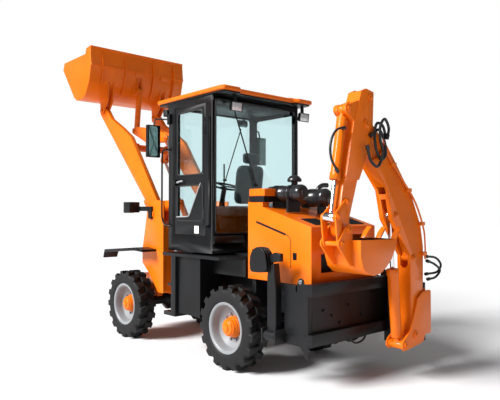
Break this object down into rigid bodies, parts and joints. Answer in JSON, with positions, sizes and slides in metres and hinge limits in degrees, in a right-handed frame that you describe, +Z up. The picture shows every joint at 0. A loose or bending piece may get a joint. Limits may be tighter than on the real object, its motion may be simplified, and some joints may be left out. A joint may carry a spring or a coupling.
{
  "type": "backhoe loader",
  "caption": "Compact articulated backhoe loader with a raised front bucket, a tall glazed cab and a side-shift digging arm folded across the rear",
  "frame": {"origin": "centre of the bounding box, at the ground under the wheels", "axes": "+Z up, -Y towards the front bucket, +Y towards the digging arm, +X towards the machine's left side"},
  "size_m": [1.91, 5.56, 4.06],
  "materials": {
    "orange_paint": "glossy",
    "black_paint": "satin",
    "engine_iron": "satin",
    "rim_grey": "satin",
    "tyre_rubber": "matte",
    "chrome_rod": "polished",
    "tinted_glass": "clear tint",
    "seat_cloth": "woven",
    "hose_rubber": "matte"
  },
  "bodies": {
    "machine": {"air_cleaner": "black_paint", "backhoe_frame": "black_paint", "cab_frame": "black_paint", "cab_roof": "orange_paint", "engine_block": "engine_iron", "fender_left": "black_paint", "fender_right": "black_paint", "hood": "orange_paint", "mirror_left": "black_paint", "mirror_right": "black_paint", "muffler": "black_paint", "rear_axle": "black_paint", "rear_chassis": "black_paint", "rear_window": "tinted_glass", "right_window": "tinted_glass", "seat_back": "seat_cloth", "seat_cushion": "seat_cloth", "windshield": "tinted_glass"},
    "front_frame": {"front_axle": "black_paint", "front_chassis": "orange_paint", "front_fender_left": "black_paint", "front_fender_right": "black_paint", "headlight_left": "black_paint", "headlight_right": "black_paint"},
    "front_wheel_left": {"rim_front_left": "rim_grey", "tyre_front_left": "tyre_rubber"},
    "front_wheel_right": {"rim_front_right": "rim_grey", "tyre_front_right": "tyre_rubber"},
    "rear_wheel_left": {"rim_rear_left": "rim_grey", "tyre_rear_left": "tyre_rubber"},
    "rear_wheel_right": {"rim_rear_right": "rim_grey", "tyre_rear_right": "tyre_rubber"},
    "cab_door": {"cab_door": "black_paint", "door_glass": "tinted_glass"},
    "loader_arm": {"loader_arms": "orange_paint"},
    "boom": {"boom": "orange_paint", "arm_hoses": "hose_rubber"},
    "lift_left_barrel": {"lift_left_barrel": "orange_paint"},
    "lift_left_rod": {"lift_left_rod": "chrome_rod"},
    "lift_right_barrel": {"lift_right_barrel": "orange_paint"},
    "lift_right_rod": {"lift_right_rod": "chrome_rod"},
    "loader_bucket": {"loader_bucket": "orange_paint"},
    "bellcrank": {"bellcrank": "orange_paint"},
    "tilt_link": {"tilt_link": "orange_paint"},
    "tilt_barrel": {"tilt_barrel": "orange_paint"},
    "tilt_rod": {"tilt_rod": "chrome_rod"},
    "carriage": {"carriage": "black_paint"},
    "swing_post": {"swing_post": "orange_paint"},
    "dipper": {"dipper": "orange_paint"},
    "digging_bucket": {"digging_bucket": "orange_paint"},
    "rocker": {"rocker": "orange_paint"},
    "push_link": {"push_link": "orange_paint"},
    "boom_barrel": {"boom_barrel": "orange_paint"},
    "boom_rod": {"boom_rod": "chrome_rod"},
    "crowd_barrel": {"crowd_barrel": "orange_paint"},
    "crowd_rod": {"crowd_rod": "chrome_rod"},
    "dig_barrel": {"dig_barrel": "orange_paint"},
    "dig_rod": {"dig_rod": "chrome_rod"},
    "stabilizer_left": {"stabilizer_left": "black_paint"},
    "stabilizer_right": {"stabilizer_right": "black_paint"}
  },
  "joints": [
    {"name": "articulation", "type": "hinge", "parent": "machine", "child": "front_frame", "pos_m": [0, 0.1, 0.6], "axis": [0, 0, 1], "range_deg": [-22, 22]},
    {"name": "front_left_spin", "type": "hinge", "parent": "front_frame", "child": "front_wheel_left", "pos_m": [0.6, -0.95, 0.4362], "axis": [1, 0, 0], "continuous": true},
    {"name": "front_right_spin", "type": "hinge", "parent": "front_frame", "child": "front_wheel_right", "pos_m": [-0.6, -0.95, 0.4362], "axis": [1, 0, 0], "continuous": true},
    {"name": "rear_left_spin", "type": "hinge", "parent": "machine", "child": "rear_wheel_left", "pos_m": [0.6, 1.15, 0.4362], "axis": [1, 0, 0], "continuous": true},
    {"name": "rear_right_spin", "type": "hinge", "parent": "machine", "child": "rear_wheel_right", "pos_m": [-0.6, 1.15, 0.4362], "axis": [1, 0, 0], "continuous": true},
    {"name": "door_hinge", "type": "hinge", "parent": "machine", "child": "cab_door", "pos_m": [0.7, 0.748, 1.4], "axis": [0, 0, 1], "range_deg": [0, 90]},
    {"name": "lift", "type": "hinge", "parent": "front_frame", "child": "loader_arm", "pos_m": [0, -0.6, 1.62], "axis": [-1, 0, 0], "range_deg": [-80, 4]},
    {"name": "lift_left_foot", "type": "hinge", "parent": "front_frame", "child": "lift_left_barrel", "pos_m": [0.28, -0.64, 1.06], "axis": [-1, 0, 0], "range_deg": [-67.22, 3.84]},
    {"name": "lift_left_stroke", "type": "slide", "parent": "lift_left_barrel", "child": "lift_left_rod", "axis": [0, -0.5575, 0.8302], "range_m": [-0.6666, 0.0352]},
    {"name": "lift_right_foot", "type": "hinge", "parent": "front_frame", "child": "lift_right_barrel", "pos_m": [-0.28, -0.64, 1.06], "axis": [-1, 0, 0], "range_deg": [-67.22, 3.84]},
    {"name": "lift_right_stroke", "type": "slide", "parent": "lift_right_barrel", "child": "lift_right_rod", "axis": [0, -0.5575, 0.8302], "range_m": [-0.6666, 0.0352]},
    {"name": "tilt_foot", "type": "hinge", "parent": "front_frame", "child": "tilt_barrel", "pos_m": [0, -0.7, 0.98], "axis": [-1, 0, 0], "range_deg": [-56.66, 3.31]},
    {"name": "tilt_stroke", "type": "slide", "parent": "tilt_barrel", "child": "tilt_rod", "axis": [0, -0.1994, 0.9799], "range_m": [-0.5814, 0.031]},
    {"name": "bucket_tilt", "type": "hinge", "parent": "loader_arm", "child": "loader_bucket", "pos_m": [0, -2.08, 3.17], "axis": [1, 0, 0], "range_deg": [-40, 85]},
    {"name": "bellcrank_pin", "type": "hinge", "parent": "loader_arm", "child": "bellcrank", "pos_m": [0, -1.475, 2.72], "axis": [1, 0, 0], "range_deg": [-24.3, 11.7]},
    {"name": "tilt_link_pin", "type": "hinge", "parent": "bellcrank", "child": "tilt_link", "pos_m": [0, -1.91, 2.89], "axis": [1, 0, 0], "range_deg": [-40.14, 84.73]},
    {"name": "side_shift", "type": "slide", "parent": "machine", "child": "carriage", "axis": [1, 0, 0], "range_m": [0, 1.24]},
    {"name": "swing", "type": "hinge", "parent": "carriage", "child": "swing_post", "pos_m": [-0.66, 2.58, 0.6], "axis": [0, 0, 1], "range_deg": [0, 180]},
    {"name": "boom_hinge", "type": "hinge", "parent": "swing_post", "child": "boom", "pos_m": [-0.42, 2.58, 0.45], "axis": [0, 1, 0], "range_deg": [0, 90]},
    {"name": "boom_foot", "type": "hinge", "parent": "swing_post", "child": "boom_barrel", "pos_m": [-0.24, 2.58, 0.37], "axis": [0, 1, 0], "range_deg": [0, 96.35]},
    {"name": "boom_stroke", "type": "slide", "parent": "boom_barrel", "child": "boom_rod", "axis": [0.0956, 0, 0.9954], "range_m": [-0.2847, 0]},
    {"name": "dipper_hinge", "type": "hinge", "parent": "boom", "child": "dipper", "pos_m": [0.33, 2.58, 2.44], "axis": [0, -1, 0], "range_deg": [0, 97]},
    {"name": "crowd_foot", "type": "hinge", "parent": "boom", "child": "crowd_barrel", "pos_m": [-0.42, 2.58, 1.2], "axis": [0, -1, 0], "range_deg": [0, 4.67]},
    {"name": "crowd_stroke", "type": "slide", "parent": "crowd_barrel", "child": "crowd_rod", "axis": [0.4239, 0, 0.9057], "range_m": [-0.3745, 0]},
    {"name": "bucket_curl", "type": "hinge", "parent": "dipper", "child": "digging_bucket", "pos_m": [0.62, 2.58, 1.49], "axis": [0, -1, 0], "range_deg": [0, 97]},
    {"name": "dig_foot", "type": "hinge", "parent": "dipper", "child": "dig_barrel", "pos_m": [0.575, 2.58, 2.55], "axis": [0, -1, 0], "range_deg": [0, 7.1]},
    {"name": "dig_stroke", "type": "slide", "parent": "dig_barrel", "child": "dig_rod", "axis": [0.1733, 0, -0.9849], "range_m": [-0.2102, 0]},
    {"name": "rocker_pin", "type": "hinge", "parent": "dipper", "child": "rocker", "pos_m": [0.6, 2.58, 1.73], "axis": [0, -1, 0], "range_deg": [0, 73.93]},
    {"name": "push_link_pin", "type": "hinge", "parent": "digging_bucket", "child": "push_link", "pos_m": [0.716, 2.58, 1.375], "axis": [0, -1, 0], "range_deg": [-98.18, 0]},
    {"name": "stabilizer_left_hinge", "type": "hinge", "parent": "machine", "child": "stabilizer_left", "pos_m": [0.735, 1.85, 0.47], "axis": [0, 1, 0], "range_deg": [0, 120]},
    {"name": "stabilizer_right_hinge", "type": "hinge", "parent": "machine", "child": "stabilizer_right", "pos_m": [-0.735, 1.85, 0.47], "axis": [0, -1, 0], "range_deg": [0, 120]}
  ],
  "couplings": [
    {"joint": "lift_left_foot", "follows": "lift", "ratio": 0.834},
    {"joint": "lift_left_stroke", "follows": "lift", "m_per_rad": 0.476},
    {"joint": "lift_right_foot", "follows": "lift", "ratio": 0.834},
    {"joint": "lift_right_stroke", "follows": "lift", "m_per_rad": 0.476},
    {"joint": "tilt_foot", "follows": "lift", "ratio": 0.702},
    {"joint": "tilt_stroke", "follows": "lift", "m_per_rad": 0.415},
    {"joint": "bellcrank_pin", "follows": "bucket_tilt", "ratio": -0.28},
    {"joint": "tilt_link_pin", "follows": "bucket_tilt", "ratio": 0.991},
    {"joint": "boom_foot", "follows": "boom_hinge", "ratio": 1.065},
    {"joint": "boom_stroke", "follows": "boom_hinge", "m_per_rad": -0.18},
    {"joint": "crowd_foot", "follows": "dipper_hinge", "ratio": 0.043},
    {"joint": "crowd_stroke", "follows": "dipper_hinge", "m_per_rad": -0.22},
    {"joint": "dig_foot", "follows": "bucket_curl", "ratio": 0.068},
    {"joint": "dig_stroke", "follows": "bucket_curl", "m_per_rad": -0.123},
    {"joint": "rocker_pin", "follows": "bucket_curl", "ratio": 0.757},
    {"joint": "push_link_pin", "follows": "bucket_curl", "ratio": -1.007}
  ]
}
